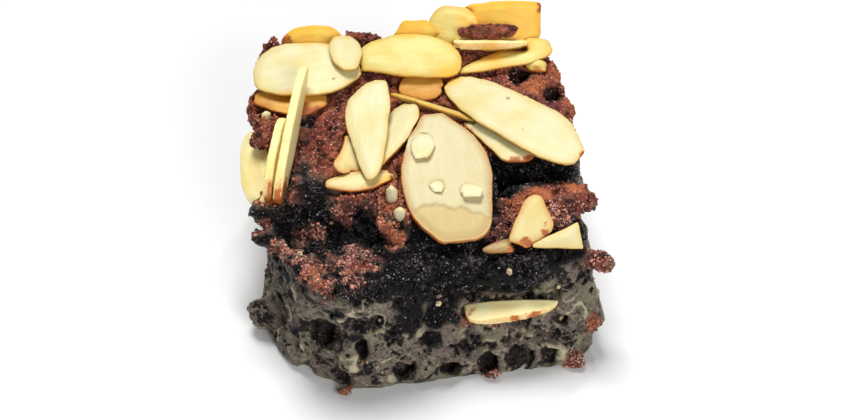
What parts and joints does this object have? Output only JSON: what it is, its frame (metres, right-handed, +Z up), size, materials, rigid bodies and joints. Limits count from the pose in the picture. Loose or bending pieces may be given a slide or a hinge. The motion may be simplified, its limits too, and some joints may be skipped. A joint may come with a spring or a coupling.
{
  "type": "nut brownie",
  "caption": "Square of chocolate brownie with sliced almonds baked onto its crust and a moist, crumbly broken front.",
  "frame": {"origin": "middle of the flat base that the brownie stands on", "axes": "+Z up through the brownie's height; -Y to the broken front side with the low shelf; +X to the right as seen from that front"},
  "size_m": [0.0527, 0.0494, 0.0323],
  "materials": {
    "cake": null,
    "crust_crumb": null,
    "almond_slice": null,
    "almond_bit": null
  },
  "bodies": {
    "root": {"bit_back_right": "almond_bit", "bit_centre_large": "almond_bit", "bit_centre_left": "almond_bit", "bit_centre_right": "almond_bit", "bit_left": "almond_bit", "bit_tuft_lower": "almond_bit", "bit_tuft_upper": "almond_bit", "brownie": "cake", "crumb_back": "crust_crumb", "slice_back_edge": "almond_slice", "slice_back_large": "almond_slice", "slice_back_lobe": "almond_slice", "slice_centre": "almond_slice", "slice_front": "almond_slice", "slice_left_back": "almond_slice", "slice_left_hanging": "almond_slice", "slice_left_oval": "almond_slice", "slice_left_under": "almond_slice", "slice_left_upper": "almond_slice", "slice_low": "almond_slice", "slice_mid_dome": "almond_slice", "slice_mid_oval": "almond_slice", "slice_mid_thin": "almond_slice", "slice_mid_under": "almond_slice", "slice_right": "almond_slice", "slice_right_foot": "almond_slice", "slice_right_long": "almond_slice", "slice_right_low": "almond_slice", "slice_right_under": "almond_slice", "slice_right_wedge": "almond_slice", "slice_stick_long": "almond_slice", "slice_stick_short": "almond_slice", "slice_upright": "almond_slice", "slice_upright_left": "almond_slice", "slice_upright_right": "almond_slice"}
  },
  "joints": []
}
